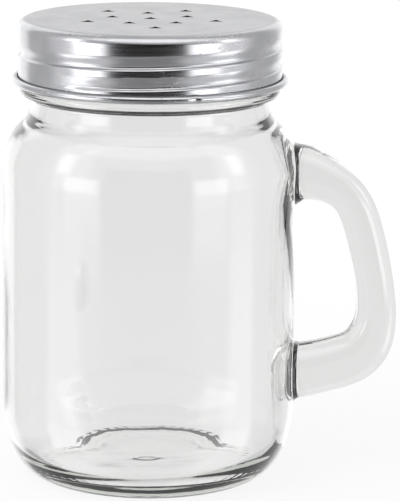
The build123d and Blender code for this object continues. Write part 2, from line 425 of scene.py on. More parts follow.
def handle_path():
    """Dense points of the handle's middle line with its thickness and width: x, z, thickness, width."""
    x = [BODY_RADIUS + HANDLE_REACH * s[0] for s in HANDLE_STATIONS]
    z = [HANDLE_FOOT + (HANDLE_HEAD - HANDLE_FOOT) * s[1] for s in HANDLE_STATIONS]
    line = spline(list(zip(x, z)), [(1, -0.03), (-1, -0.06)], 2000)
    knots = np.array([[a, b] for a, b in zip(x, z)])
    near = [int(np.argmin(np.linalg.norm(line - k, axis=1))) for k in knots]
    at = np.array(near, float)
    sizes = []
    for column, scale in ((2, HANDLE_THICK), (3, HANDLE_WIDTH)):
        values = np.array([s[column] * scale for s in HANDLE_STATIONS])
        slopes = np.gradient(values, at)
        span = np.clip(np.searchsorted(at, np.arange(2000), side="right") - 1, 0, len(at) - 2)
        width = at[span + 1] - at[span]
        t = (np.arange(2000) - at[span]) / width
        sizes.append(hermite(t, width, values[span], slopes[span], values[span + 1], slopes[span + 1]))
    return np.column_stack((line, sizes[0], sizes[1]))


def rounded_loop(thick, width):
    """Rounded rectangle as (across thickness, across width, outward normal of both), in order."""
    corner = HANDLE_ROUND * min(thick, width)
    loop = []
    for side in range(4):
        along_size = width if side % 2 == 0 else thick
        out_size = thick if side % 2 == 0 else width
        steps = ROOT_COLUMNS if side % 2 == 0 else ROOT_ROWS
        flat = along_size / 2 - corner
        half = flat + corner * math.pi / 4
        for k in range(steps):
            s = -half + 2 * half * k / steps
            bend = max(0.0, abs(s) - flat) / corner
            along = math.copysign(min(abs(s), flat) + corner * math.sin(bend), s)
            out = out_size / 2 - corner * (1 - math.cos(bend))
            lean = math.copysign(math.sin(bend), s)
            up = math.cos(bend)
            if side == 0:
                loop.append((out, along, up, lean))
            elif side == 1:
                loop.append((-along, out, -lean, up))
            elif side == 2:
                loop.append((-out, -along, -up, -lean))
            else:
                loop.append((along, -out, lean, -up))
    return np.array(loop)


def block_loop(first_row, upper):
    """Rows and columns round the patch of the body's grid that a handle root replaces."""
    low, high = first_row, first_row + ROOT_ROWS
    half = ROOT_COLUMNS // 2
    near, far = (low, high) if upper else (high, low)
    step = 1 if upper else -1
    places = [(near, column) for column in range(-half, half)]
    places += [(row, half) for row in range(near, far, step)]
    places += [(far, column) for column in range(half, -half, -1)]
    places += [(row, -half) for row in range(far, near, -step)]
    return places


def jar_surface():
    """The whole jar as one closed surface: vertices in millimetres and faces."""
    profile = np.concatenate((jar_outside(), jar_inside()[1:]))
    rows = profile[1:-1]
    grid = revolved(rows, JAR_COLUMNS)
    first_inner = len(jar_outside()) - 1
    grid[first_inner:] = uneven_inside(grid[first_inner:])
    points = [tuple(p) for p in grid.reshape(-1, 3)]

    def at(row, column):
        return row * JAR_COLUMNS + column % JAR_COLUMNS

    side_rows = [i for i in range(first_inner - 1) if rows[i][0] > NECK_RADIUS]
    starts = {}
    for upper, wanted in ROOT_HEIGHTS:
        starts[upper] = min(side_rows, key=lambda i: abs(rows[i][1] - wanted))

    faces = []
    half = ROOT_COLUMNS // 2
    for row in range(len(rows) - 1):
        in_block = any(start <= row < start + ROOT_ROWS for start in starts.values())
        for column in range(JAR_COLUMNS):
            signed = column if column < JAR_COLUMNS // 2 else column - JAR_COLUMNS
            if in_block and -half <= signed < half:
                continue
            faces.append((at(row, column), at(row, column + 1), at(row + 1, column + 1), at(row + 1, column)))
    for row, pole, place in ((0, profile[0], (0.0, 0.0)), (len(rows) - 1, profile[-1], FLOOR_SHIFT)):
        points.append((*place, pole[1]))
        middle = len(points) - 1
        for column in range(JAR_COLUMNS):
            faces.append((middle, at(row, column), at(row, column + 1)))

    dense = respaced(side_curve(), 0.05)

    def wall_radius(z):
        return np.interp(z, dense[:, 1], dense[:, 0])

    def on_wall(across, z, out):
        radius = wall_radius(z)
        return np.sqrt(radius**2 - across**2) + out

    path = handle_path()
    along = np.gradient(path[:, :2], axis=0)
    along /= np.linalg.norm(along, axis=1)[:, None]
    far_side = int(np.argmax(path[:, 0]))

    def path_index(x, upper):
        part = path[:far_side, 0] if upper else path[far_side:, 0][::-1]
        found = int(np.argmin(np.abs(part - x)))
        return found if upper else len(path) - 1 - found

    def section(index):
        x, z, thick, width = path[index]
        tx, tz = along[index]
        loop = rounded_loop(thick, width)
        return np.column_stack((x + loop[:, 0] * tz, loop[:, 1], z - loop[:, 0] * tx))

    def root_rings(upper):
        """Rings from the body's grid in to the handle, over the wall and up the hollow rounding."""
        sign = -1 if upper else 1
        end = 0 if upper else len(path) - 1
        top = path_index(BODY_RADIUS + HANDLE_ROOT, upper)
        low_loop = rounded_loop(path[end, 2], path[end, 3])
        top_loop = rounded_loop(path[top, 2], path[top, 3])
        low_yz = np.column_stack((low_loop[:, 1], path[end, 1] + sign * low_loop[:, 0]))
        top_yz = np.column_stack((top_loop[:, 1], path[top, 1] + sign * top_loop[:, 0]))
        normal = np.column_stack((low_loop[:, 3], sign * low_loop[:, 2]))
        rounding = []
        for turn in np.radians(np.linspace(90, 0, 9)):
            out = HANDLE_ROOT * (1 - math.sin(turn))
            share = out / HANDLE_ROOT
            flat = low_yz * (1 - share) + top_yz * share + normal * HANDLE_ROOT * (1 - math.cos(turn))
            x = on_wall(flat[:, 0], flat[:, 1], out)
            rounding.append(np.column_stack((x, flat)))
        places = block_loop(starts[upper], upper)
        border = np.array([points[at(r, c)] for r, c in places])
        border_turn = np.arctan2(border[:, 1], border[:, 0])
        first = rounding[0]
        first_turn = np.arctan2(first[:, 1], first[:, 0])
        rings = []
        for share in (0.2, 0.4, 0.6, 0.8):
            turn = border_turn * (1 - share) + first_turn * share
            z = border[:, 2] * (1 - share) + first[:, 2] * share
            radius = wall_radius(z)
            rings.append(np.column_stack((radius * np.cos(turn), radius * np.sin(turn), z)))
        return [at(r, c) for r, c in places], rings + rounding

    start = path_index(BODY_RADIUS + HANDLE_ROOT + 1.0, True)
    stop = path_index(BODY_RADIUS + HANDLE_ROOT + 1.0, False)
    tube = evened([section(i) for i in np.linspace(start, stop, 84).astype(int)], 16)
    upper_border, upper_rings = root_rings(True)
    lower_border, lower_rings = root_rings(False)

    def lifted(first, second):
        return [first * 0.5 + second * 0.5]

    rings = upper_rings + lifted(upper_rings[-1], tube[0]) + tube
    rings += lifted(tube[-1], lower_rings[-1]) + lower_rings[::-1]
    before = upper_border
    size = len(upper_border)
    for ring in rings:
        first = len(points)
        points.extend(tuple(p) for p in ring)
        here = list(range(first, first + size))
        for k in range(size):
            faces.append((before[k], before[(k + 1) % size], here[(k + 1) % size], here[k]))
        before = here
    for k in range(size):
        faces.append((before[k], before[(k + 1) % size], lower_border[(k + 1) % size], lower_border[k]))
    return np.array(points), faces


def mesh_object(name, points, faces):
    """Object at the origin with its mesh in metres, loose points dropped and faces turned outwards."""
    mesh = bpy.data.meshes.new(name)
    mesh.from_pydata(
        [tuple(p) for p in np.asarray(points) * MM],
        [],
        [tuple(int(i) for i in f) for f in faces],
    )
    made = bpy.data.objects.new(name, mesh)
    bpy.context.scene.collection.objects.link(made)
    tidy(made)
    return made


def tidy(piece):
    """Merges doubles, drops loose points, turns the faces outwards and shades them smooth."""
    shape = bmesh.new()
    shape.from_mesh(piece.data)
    bmesh.ops.remove_doubles(shape, verts=shape.verts, dist=1e-7)
    loose = [v for v in shape.verts if not v.link_faces]
    bmesh.ops.delete(shape, geom=loose, context="VERTS")
    bmesh.ops.recalc_face_normals(shape, faces=shape.faces)
    for face in shape.faces:
        face.smooth = True
    shape.to_mesh(piece.data)
    shape.free()


def new_tree(name, sizes):
    """Geometry Nodes tree that takes a mesh and named sizes, and the sockets that bring them in."""
    tree = bpy.data.node_groups.new(name, "GeometryNodeTree")
    tree.interface.new_socket("Geometry", in_out="INPUT", socket_type="NodeSocketGeometry")
    for label in sizes:
        tree.interface.new_socket(label, in_out="INPUT", socket_type="NodeSocketFloat")
    tree.interface.new_socket("Geometry", in_out="OUTPUT", socket_type="NodeSocketGeometry")
    return tree, tree.nodes.new("NodeGroupInput").outputs


def close_tree(tree, geometry, material):
    real = add(tree, "GeometryNodeRealizeInstances", geometry)
    finished = add(tree, "GeometryNodeSetMaterial", {"Geometry": real, "Material": material})
    add(tree, "NodeGroupOutput", finished)


def grown(piece, tree, sizes):
    """Runs a tree on a piece with its named sizes and keeps the result as the piece's plain mesh."""
    modifier = piece.modifiers.new(tree.name, "NODES")
    modifier.node_group = tree
    for socket in tree.interface.items_tree:
        if socket.in_out == "INPUT" and socket.name in sizes:
            modifier[socket.identifier] = float(sizes[socket.name])
    bpy.context.view_layer.update()
    result = bpy.data.meshes.new_from_object(piece.evaluated_get(bpy.context.evaluated_depsgraph_get()))
    piece.modifiers.remove(modifier)
    old = piece.data
    piece.data = result
    bpy.data.meshes.remove(old)
    tidy(piece)


def helical_ridge(name, material):
    """Tree that moves a round wall in or out along a helix, with smooth run-outs at both ends."""
    labels = ["Pitch", "Low", "Start", "Turns", "Run Out", "Out", "Above", "Below", "Crest"]
    labels += ["From Radius", "To Height"]
    tree, size = new_tree(name, labels)
    position = add(tree, "GeometryNodeInputPosition")
    split = add(tree, SEPARATE, position).node.outputs
    turned = add(tree, MATH, split["Y"], split["X"], operation="ARCTAN2")
    ahead = add(tree, MATH, turned, size["Start"], operation="SUBTRACT")
    around = add(tree, MATH, ahead, 2 * math.pi, operation="FLOORED_MODULO")
    share = add(tree, MATH, around, 2 * math.pi, operation="DIVIDE")
    rise = add(tree, MATH, split["Z"], size["Low"], operation="SUBTRACT")
    turns = add(tree, MATH, rise, size["Pitch"], operation="DIVIDE")
    past = add(tree, MATH, turns, share, operation="SUBTRACT")
    whole = add(tree, MATH, past, operation="ROUND")
    most = add(tree, MATH, size["Turns"], share, operation="SUBTRACT")
    last = add(tree, MATH, most, operation="FLOOR")
    lap = add(tree, MATH, add(tree, MATH, whole, last, operation="MINIMUM"), 0.0, operation="MAXIMUM")
    along = add(tree, MATH, share, lap, operation="ADD")
    middle = add(tree, MATH, along, size["Pitch"], size["Low"], operation="MULTIPLY_ADD")
    away = add(tree, MATH, split["Z"], middle, operation="SUBTRACT")
    under_away = add(tree, MATH, away, -1.0, operation="MULTIPLY")
    left = add(tree, MATH, size["Turns"], along, operation="SUBTRACT")
    slopes = []
    for reached, none, full in (
        (away, size["Above"], size["Crest"]),
        (under_away, size["Below"], size["Crest"]),
        (along, 0.0, size["Run Out"]),
        (left, 0.0, size["Run Out"]),
    ):
        span = {"Value": reached, "From Min": none, "From Max": full}
        slopes.append(add(tree, MAP_RANGE, span, interpolation_type="SMOOTHSTEP"))
    form = add(tree, MATH, slopes[0], slopes[1], operation="MINIMUM")
    ends = add(tree, MATH, slopes[2], slopes[3], operation="MULTIPLY")
    flat = add(tree, COMBINE, split["X"], split["Y"], 0.0)
    radius = add(tree, VECTOR_MATH, flat, operation="LENGTH", out=1)
    chosen = add(
        tree,
        COMPARE,
        {0: radius, 1: size["From Radius"]},
        data_type="FLOAT",
        operation="GREATER_THAN",
    )
    lower = add(
        tree,
        COMPARE,
        {0: split["Z"], 1: size["To Height"]},
        data_type="FLOAT",
        operation="LESS_THAN",
    )
    both = add(tree, "FunctionNodeBooleanMath", chosen, lower, operation="AND")
    level = add(tree, MATH, form, ends, operation="MULTIPLY")
    amount = add(tree, MATH, level, size["Out"], operation="MULTIPLY")
    outward = add(tree, VECTOR_MATH, flat, operation="NORMALIZE")
    shift = add(tree, VECTOR_MATH, {0: outward, "Scale": amount}, operation="SCALE")
    moved = add(
        tree,
        "GeometryNodeSetPosition",
        {"Geometry": size["Geometry"], "Selection": both, "Offset": shift},
    )
    close_tree(tree, moved, material)
    return tree


def bearing_marks(name, material):
    """Tree that presses short radial marks into the ring that the jar stands on."""
    tree, size = new_tree(name, ["Count", "Depth", "Middle", "Half Width", "Unevenness"])
    position = add(tree, "GeometryNodeInputPosition")
    split = add(tree, SEPARATE, position).node.outputs
    angle = add(tree, MATH, split["Y"], split["X"], operation="ARCTAN2")
    turns = add(tree, MATH, angle, 2 * math.pi, operation="DIVIDE")
    marks = add(tree, MATH, turns, size["Count"], operation="MULTIPLY")
    number = add(tree, MATH, marks, operation="FLOOR")
    part = add(tree, MATH, marks, number, operation="SUBTRACT")
    off = add(tree, MATH, part, 0.5, operation="SUBTRACT")
    beside = add(tree, MATH, off, operation="ABSOLUTE")
    ridge = add(
        tree,
        MAP_RANGE,
        {"Value": beside, "From Min": 0.42, "From Max": 0.1},
        interpolation_type="SMOOTHSTEP",
    )
    draw = {"ID": add(tree, "FunctionNodeFloatToInt", number), "Seed": 7}
    chance = add(tree, "FunctionNodeRandomValue", draw, data_type="FLOAT", out=1)
    uneven = add(tree, MATH, chance, size["Unevenness"], 1.0, operation="MULTIPLY_ADD")
    flat = add(tree, COMBINE, split["X"], split["Y"], 0.0)
    radius = add(tree, VECTOR_MATH, flat, operation="LENGTH", out=1)
    farther = add(tree, MATH, radius, size["Middle"], operation="SUBTRACT")
    across = add(tree, MATH, farther, operation="ABSOLUTE")
    band = add(
        tree,
        MAP_RANGE,
        {"Value": across, "From Min": size["Half Width"], "From Max": 0.0},
        interpolation_type="SMOOTHSTEP",
    )
    lift = add(tree, MATH, add(tree, MATH, ridge, band, operation="MULTIPLY"), uneven, operation="MULTIPLY")
    height = add(tree, MATH, lift, size["Depth"], operation="MULTIPLY")
    low = add(tree, COMPARE, {0: split["Z"], 1: 2.0 * MM}, data_type="FLOAT", operation="LESS_THAN")
    shift = add(tree, COMBINE, 0.0, 0.0, height)
    moved = add(
        tree,
        "GeometryNodeSetPosition",
        {"Geometry": size["Geometry"], "Selection": low, "Offset": shift},
    )
    close_tree(tree, moved, material)
    return tree


def punched_top(name, material):
    """Tree that closes a ring-shaped sheet with a disc punched with three-pointed holes."""
    labels = ["Top", "Sheet", "Disc Radius", "Hole Radius", "Waist", "Patch Radius", "Rolled Edge", "Burr"]
    labels += ["Inner Ring", "Inner Turn", "Outer Ring", "Outer Turn"]
    tree, size = new_tree(name, labels)
    ring_count = 5
    hole_columns = 48
    hole_rows = 14

    # places of the holes
    rings = []
    for ring in ("Inner", "Outer"):
        circle = add(
            tree,
            "GeometryNodeMeshCircle",
            {"Vertices": ring_count, "Radius": size[f"{ring} Ring"]},
            fill_type="NONE",
        )
        turn = add(tree, COMBINE, 0.0, 0.0, size[f"{ring} Turn"])
        rings.append(add(tree, "GeometryNodeTransform", {"Geometry": circle, "Rotation": turn}))
    middle = add(tree, "GeometryNodeMeshLine", {"Count": 1})
    places = add(tree, "GeometryNodeJoinGeometry")
    for part in (*rings, middle):
        tree.links.new(part, places.node.inputs[0])

    # one hole with the sheet round it, as a grid bent into a ring
    grid = add(
        tree,
        "GeometryNodeMeshGrid",
        {"Size X": 2.0, "Size Y": 1.0, "Vertices X": hole_rows, "Vertices Y": hole_columns + 1},
    )
    split = add(tree, SEPARATE, add(tree, "GeometryNodeInputPosition")).node.outputs
    angle = add(tree, MATH, split["Y"], 2 * math.pi, math.pi, operation="MULTIPLY_ADD")
    from_point = add(tree, MATH, angle, math.radians(90), operation="SUBTRACT")
    third = add(tree, MATH, from_point, math.radians(120), operation="FLOORED_MODULO")
    lean = add(tree, MATH, third, math.radians(60), operation="SUBTRACT")
    # each hollow side is an arc of radius arc whose middle lies out at reach
    half = add(tree, MATH, size["Hole Radius"], 0.5, operation="MULTIPLY")
    inward = add(tree, MATH, half, size["Waist"], operation="SUBTRACT")
    square = add(tree, MATH, size["Hole Radius"], size["Hole Radius"], operation="MULTIPLY")
    chord = add(tree, MATH, square, 0.75, operation="MULTIPLY")
    squares = add(tree, MATH, inward, inward, chord, operation="MULTIPLY_ADD")
    arc = add(tree, MATH, squares, add(tree, MATH, inward, 2.0, operation="MULTIPLY"), operation="DIVIDE")
    reach = add(tree, MATH, arc, size["Waist"], operation="ADD")
    sine = add(tree, MATH, lean, operation="SINE")
    cosine = add(tree, MATH, lean, operation="COSINE")
    aside = add(tree, MATH, reach, sine, operation="MULTIPLY")
    arc_square = add(tree, MATH, arc, arc, operation="MULTIPLY")
    aside_square = add(tree, MATH, aside, aside, operation="MULTIPLY")
    root = add(tree, MATH, add(tree, MATH, arc_square, aside_square, operation="SUBTRACT"), operation="SQRT")
    ahead = add(tree, MATH, reach, cosine, operation="MULTIPLY")
    hole_edge = add(tree, MATH, ahead, root, operation="SUBTRACT")
    out = add(tree, MATH, split["X"], operation="ABSOLUTE")
    first = 1 / (hole_rows - 1)
    share = add(tree, MAP_RANGE, {"Value": out, "From Min": first, "From Max": 1.0})
    spread = add(tree, MATH, share, 1.6, operation="POWER")
    wide = add(tree, MIX, {0: spread, 2: hole_edge, 3: size["Patch Radius"]}, data_type="FLOAT")
    top_side = add(tree, COMPARE, {0: split["X"], 1: 0.0}, data_type="FLOAT", operation="GREATER_THAN")
    fall = add(tree, MATH, add(tree, MATH, 1.0, share, operation="SUBTRACT"), 4.0, operation="POWER")
    falling = add(tree, MATH, fall, -1.0, operation="MULTIPLY")
    rolled = add(tree, MATH, falling, size["Rolled Edge"], operation="MULTIPLY")
    burred = add(tree, MATH, falling, size["Burr"], operation="MULTIPLY")
    back = add(tree, MATH, burred, size["Sheet"], operation="SUBTRACT")
    drop = add(
        tree,
        "GeometryNodeSwitch",
        {"Switch": top_side, "False": back, "True": rolled},
        input_type="FLOAT",
    )
    x = add(tree, MATH, wide, add(tree, MATH, angle, operation="COSINE"), operation="MULTIPLY")
    y = add(tree, MATH, wide, add(tree, MATH, angle, operation="SINE"), operation="MULTIPLY")
    bent = add(tree, COMBINE, x, y, drop)
    hole = add(tree, "GeometryNodeSetPosition", {"Geometry": grid, "Position": bent})
    holes = add(tree, "GeometryNodeInstanceOnPoints", {"Points": places, "Instance": hole})

    # the flat sheet between the holes, once as the top and once as the underside
    rim = add(
        tree,
        "GeometryNodeCurvePrimitiveCircle",
        {"Resolution": LID_COLUMNS, "Radius": size["Disc Radius"]},
    )
    bite = add(
        tree,
        "GeometryNodeCurvePrimitiveCircle",
        {"Resolution": hole_columns, "Radius": size["Patch Radius"]},
    )
    bites = add(tree, "GeometryNodeInstanceOnPoints", {"Points": places, "Instance": bite})
    outline = add(tree, "GeometryNodeJoinGeometry")
    tree.links.new(rim, outline.node.inputs[0])
    tree.links.new(bites, outline.node.inputs[0])
    outline = add(tree, "GeometryNodeRealizeInstances", outline)
    face = add(tree, "GeometryNodeFillCurve", {"Curve": outline})
    down = add(tree, COMBINE, 0.0, 0.0, add(tree, MATH, size["Sheet"], -1.0, operation="MULTIPLY"))
    underside = add(tree, "GeometryNodeTransform", {"Geometry": face, "Translation": down})
    disc = add(tree, "GeometryNodeJoinGeometry")
    for part in (holes, face, underside):
        tree.links.new(part, disc.node.inputs[0])
    up = add(tree, COMBINE, 0.0, 0.0, size["Top"])
    raised = add(tree, "GeometryNodeTransform", {"Geometry": disc, "Translation": up})
    whole = add(tree, "GeometryNodeJoinGeometry")
    for part in (raised, size["Geometry"]):
        tree.links.new(part, whole.node.inputs[0])
    whole = add(tree, "GeometryNodeRealizeInstances", whole)
    merged = add(tree, "GeometryNodeMergeByDistance", {"Geometry": whole, "Distance": 0.002 * MM})
    close_tree(tree, merged, material)
    return tree


def lid_sheet():
    """The drawn cap outside its punched disc: rim, corner, skirt and curled edge, both sides of it."""
    inner_corner = LID_CORNER - SHEET
    skirt_inside = LID_RADIUS - SHEET
    middle = (skirt_inside + CURL_RADIUS, LID_EDGE + CURL_RADIUS)
    corner_z = LID_TOP - LID_CORNER

    def curl(radius, count):
        angle = np.radians(np.linspace(180, 180 + CURL_ANGLE, count))
        return np.stack((middle[0] + radius * np.cos(angle), middle[1] + radius * np.sin(angle)), axis=1)

    outer = chained(
        straight((PUNCHED_RADIUS, LID_TOP), (LID_RADIUS - LID_CORNER, LID_TOP), 5),
        quarter((LID_RADIUS - LID_CORNER, corner_z), LID_CORNER, LID_CORNER, 0, 12)[::-1],
        straight((LID_RADIUS, corner_z), (LID_RADIUS, middle[1]), 60),
        curl(CURL_RADIUS - SHEET, 20),
    )
    inner = chained(
        curl(CURL_RADIUS, 24)[::-1],
        straight((skirt_inside, middle[1]), (skirt_inside, corner_z), 60),
        quarter((skirt_inside - inner_corner, corner_z), inner_corner, inner_corner, 0, 8),
        straight((skirt_inside - inner_corner, LID_TOP - SHEET), (PUNCHED_RADIUS, LID_TOP - SHEET), 4),
    )
    profile = np.concatenate((outer, inner))
    points = revolved(profile, LID_COLUMNS).reshape(-1, 3)
    beside_nick = np.abs(np.arctan2(points[:, 1], points[:, 0]) - NICK_TURN) * LID_RADIUS
    nick = NICK_DEPTH * eased(1 - beside_nick / 1.1) * eased(
        (LID_EDGE + 2.2 * CURL_RADIUS - points[:, 2]) / CURL_RADIUS
    )
    points[:, :2] *= (1 - nick / LID_RADIUS)[:, None]
    return points, banded([(row, row + 1) for row in range(len(profile) - 1)], LID_COLUMNS)


def ring_solid(outer, inner, low, high, rounding, columns):
    """Ring with rounded edges, as points and faces."""
    section = chained(
        quarter((outer - rounding, low + rounding), rounding, rounding, -90, 4),
        quarter((outer - rounding, high - rounding), rounding, rounding, 0, 4),
        quarter((inner + rounding, high - rounding), rounding, rounding, 90, 4),
        quarter((inner + rounding, low + rounding), rounding, rounding, 180, 4),
    )
    pairs = [(row, (row + 1) % len(section)) for row in range(len(section))]
    return revolved(section, columns).reshape(-1, 3), banded(pairs, columns)


def material_tree(name):
    material = bpy.data.materials.new(name)
    material.use_nodes = True
    tree = material.node_tree
    tree.nodes.clear()
    return material, tree


def pressed_glass():
    """Clear soda-lime glass, pressed in a mould and fire-polished: faint green in the thick parts,
    with a slow waviness left by the mould."""
    material, tree = material_tree("pressed_soda_lime_glass")
    place = add(tree, COORDINATES, out=3)
    slow = add(tree, NOISE, {"Vector": place, "Scale": 90.0, "Detail": 1.0})
    fine = add(tree, NOISE, {"Vector": place, "Scale": 420.0, "Detail": 2.0})
    height = add(tree, MATH, fine, 0.12, slow, operation="MULTIPLY_ADD")
    wavy = add(tree, BUMP, {"Height": height, "Strength": 0.35, "Distance": 0.0002})
    rough = add(tree, MAP_RANGE, {"Value": slow, "To Min": 0.0, "To Max": 0.03})
    shader = add(
        tree,
        PRINCIPLED,
        {
            "Base Color": linear("#FFFFFF"),
            "Roughness": rough,
            "IOR": 1.52,
            "Transmission Weight": 1.0,
            "Normal": wavy,
        },
    )
    inside = add(tree, "ShaderNodeVolumeAbsorption", {"Color": linear("#CDD3C8"), "Density": 20.0})
    add(tree, SURFACE_OUT, {"Surface": shader, "Volume": inside})
    return material


def rolled_steel():
    """Bright rolled steel sheet, drawn and stamped: soft reflections, fine drawing marks round the
    skirt, scuffs from handling and a few specks of tarnish."""
    material, tree = material_tree("bright_rolled_steel")
    place = add(tree, COORDINATES, out=3)
    stretched = add(tree, "ShaderNodeMapping", {"Vector": place, "Scale": (1.0, 1.0, 24.0)})
    lines = add(tree, NOISE, {"Vector": stretched, "Scale": 160.0, "Detail": 4.0})
    cloud = add(tree, NOISE, {"Vector": place, "Scale": 240.0, "Detail": 3.0})
    # scuffs lie slanting, about 0.15 mm wide and a few millimetres long
    slanted = add(
        tree,
        "ShaderNodeMapping",
        {"Vector": place, "Rotation": (0.5, 0.9, 0.3), "Scale": (0.09, 1.0, 1.0)},
    )
    scratches = add(tree, NOISE, {"Vector": slanted, "Scale": 3400.0, "Detail": 1.0})
    patches = add(tree, NOISE, {"Vector": place, "Scale": 130.0, "Detail": 1.0})
    scratched = add(tree, MAP_RANGE, {"Value": scratches, "From Min": 0.63, "From Max": 0.72})
    where = add(tree, MAP_RANGE, {"Value": patches, "From Min": 0.52, "From Max": 0.62})
    scuff = add(tree, MATH, scratched, where, operation="MULTIPLY")
    # specks of tarnish, 0.1 to 0.3 mm across and about 1.5 mm apart
    cells = add(tree, "ShaderNodeTexVoronoi", {"Vector": place, "Scale": 650.0})
    dots = add(tree, MAP_RANGE, {"Value": cells, "From Min": 0.16, "From Max": 0.08})
    speck = add(tree, MATH, dots, where, operation="MULTIPLY")
    even = add(
        tree,
        MAP_RANGE,
        {"Value": lines, "From Min": 0.3, "From Max": 0.7, "To Min": 0.18, "To Max": 0.25},
    )
    rough = add(tree, MATH, scuff, 0.15, even, operation="MULTIPLY_ADD")
    tint = add(tree, MAP_RANGE, {"Value": cloud, "From Min": 0.3, "From Max": 0.7})
    clean = add(tree, MIX, {0: tint, 6: linear("#A0A1A4"), 7: linear("#ABABAE")}, data_type="RGBA", out=2)
    worn = add(tree, MIX, {0: scuff, 6: clean, 7: linear("#C4C4C6")}, data_type="RGBA", out=2)
    colour = add(tree, MIX, {0: speck, 6: worn, 7: linear("#848382")}, data_type="RGBA", out=2)
    height = add(tree, MATH, cloud, 0.5, lines, operation="MULTIPLY_ADD")
    bump = add(tree, BUMP, {"Height": height, "Strength": 0.06, "Distance": 0.0001})
    shader = add(
        tree,
        PRINCIPLED,
        {"Base Color": colour, "Metallic": 1.0, "Roughness": rough, "Normal": bump},
    )
    add(tree, SURFACE_OUT, {"Surface": shader})
    return material


def painted_shade_steel():
    """The inside of the stamped sheet as painted shade: steel made dark and rough where shade falls inside
    the cap.
    """
    material, tree = material_tree("painted_shade_steel_inside")
    place = add(tree, COORDINATES, out=3)
    cloud = add(tree, NOISE, {"Vector": place, "Scale": 260.0, "Detail": 4.0})
    # painted shade: near-black steel colour standing in for the shade inside the cap
    colour = add(tree, MIX, {0: cloud, 6: linear("#1E1E1F"), 7: linear("#313132")}, data_type="RGBA", out=2)
    rough = add(tree, MAP_RANGE, {"Value": cloud, "To Min": 0.42, "To Max": 0.62})
    bump = add(tree, BUMP, {"Height": cloud, "Strength": 0.2, "Distance": 0.0001})
    shader = add(
        tree,
        PRINCIPLED,
        {"Base Color": colour, "Metallic": 1.0, "Roughness": rough, "Normal": bump},
    )
    add(tree, SURFACE_OUT, {"Surface": shader})
    return material


def paint_shade_inside(cap, outer_finish, painted_shade_finish):
    """Gives the painted shade, a dark steel, to the underside of the top, the holes' walls and the skirt's
    inside, where shade falls.
    """
    count = len(cap.data.polygons)
    centre = np.empty(count * 3)
    normal = np.empty(count * 3)
    cap.data.polygons.foreach_get("center", centre)
    cap.data.polygons.foreach_get("normal", normal)
    centre, normal = centre.reshape(-1, 3) / MM, normal.reshape(-1, 3)
    radius = np.hypot(centre[:, 0], centre[:, 1])
    inward = (centre[:, :2] * normal[:, :2]).sum(axis=1) < -0.3 * radius
    skirt = inward & (radius > LID_RADIUS - 2) & (centre[:, 2] > LID_EDGE + 1.5)
    under = (normal[:, 2] < -0.3) & (centre[:, 2] > LID_TOP - 4 * SHEET)
    under |= (normal[:, 2] < 0.6) & (centre[:, 2] > LID_TOP - 4 * SHEET) & (radius < PUNCHED_RADIUS)
    cap.data.materials.clear()
    cap.data.materials.append(outer_finish)
    cap.data.materials.append(painted_shade_finish)
    # faces that get the painted shade: under the top, in the holes and inside the skirt
    cap.data.polygons.foreach_set("material_index", (skirt | under).astype(np.int32))


def flowed_compound():
    """Sealing compound flowed into the lid and cured: off-white, satin, slightly uneven."""
    material, tree = material_tree("flowed_sealing_compound")
    place = add(tree, COORDINATES, out=3)
    cloud = add(tree, NOISE, {"Vector": place, "Scale": 300.0, "Detail": 3.0})
    colour = add(tree, MIX, {0: cloud, 6: linear("#D8D5CB"), 7: linear("#E6E4DC")}, data_type="RGBA", out=2)
    bump = add(tree, BUMP, {"Height": cloud, "Strength": 0.3, "Distance": 0.0001})
    rough = add(tree, MAP_RANGE, {"Value": cloud, "To Min": 0.4, "To Max": 0.6})
    shader = add(tree, PRINCIPLED, {"Base Color": colour, "Roughness": rough, "Normal": bump})
    add(tree, SURFACE_OUT, {"Surface": shader})
    return material


def place_camera():
    """Camera at the place and with the focal length that fit the photograph."""
    data = bpy.data.cameras.new("camera")
    data.sensor_width = SENSOR
    data.lens = FOCAL_PIXELS / FRAME_PIXELS * SENSOR
    data.clip_start = 0.01
    data.clip_end = 50.0
    camera = bpy.data.objects.new("camera", data)
    place = Matrix.Translation(CAMERA_PLACE)
    tilt = Matrix.Rotation(math.pi / 2 - CAMERA_DOWN, 4, "X")
    roll = Matrix.Rotation(CAMERA_ROLL, 4, "Z")
    camera.matrix_world = place @ tilt @ roll
    bpy.context.scene.collection.objects.link(camera)
    bpy.context.scene.camera = camera


def painted(turn, rise, start, patches):
    """Level of light in each direction: soft-edged patches, each as far as its edges in degrees of
    azimuth and elevation, laid over an even start. Azimuth 0 is towards the camera, 90 to the handle."""
    level = np.full(len(turn), start)
    for left, right, low, high, soft, value in patches:
        aside = np.abs((turn - (left + right) / 2 + 180) % 360 - 180)
        above = np.abs(rise - (low + high) / 2)
        mask = eased(((right - left) / 2 - aside) / (2 * soft) + 0.5)
        mask *= eased(((high - low) / 2 - above) / (2 * soft) + 0.5)
        level += (value - level) * mask
    return level


